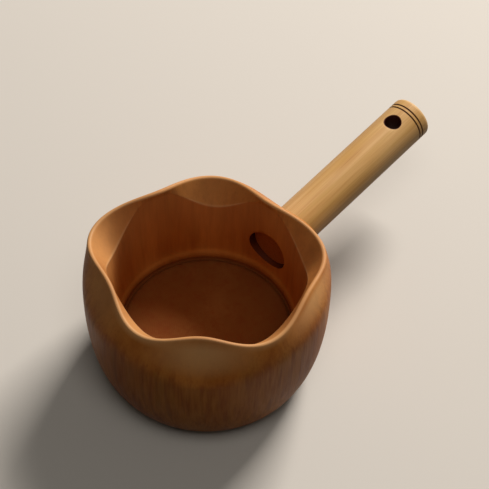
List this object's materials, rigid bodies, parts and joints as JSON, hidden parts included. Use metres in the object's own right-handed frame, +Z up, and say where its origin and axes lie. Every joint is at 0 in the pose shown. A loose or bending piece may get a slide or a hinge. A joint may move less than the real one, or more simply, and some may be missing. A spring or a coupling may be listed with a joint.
{
  "type": "bamboo water ladle",
  "caption": "Round bamboo water ladle: a thick turned bowl with a lobed, flower-like rim, and a straight round handle let into its wall, with turned lines and a hanging hole near the tip.",
  "frame": {"origin": "middle of the flat foot, on the table", "axes": "+Z up along the bowl's turning axis, +X along the table under the handle, towards its tip"},
  "size_m": [0.2316, 0.128, 0.085],
  "materials": {
    "bamboo_bowl": "satin oiled bamboo",
    "bamboo_handle": "satin oiled bamboo"
  },
  "bodies": {
    "root": {"bowl": "bamboo_bowl", "handle": "bamboo_handle"}
  },
  "joints": []
}
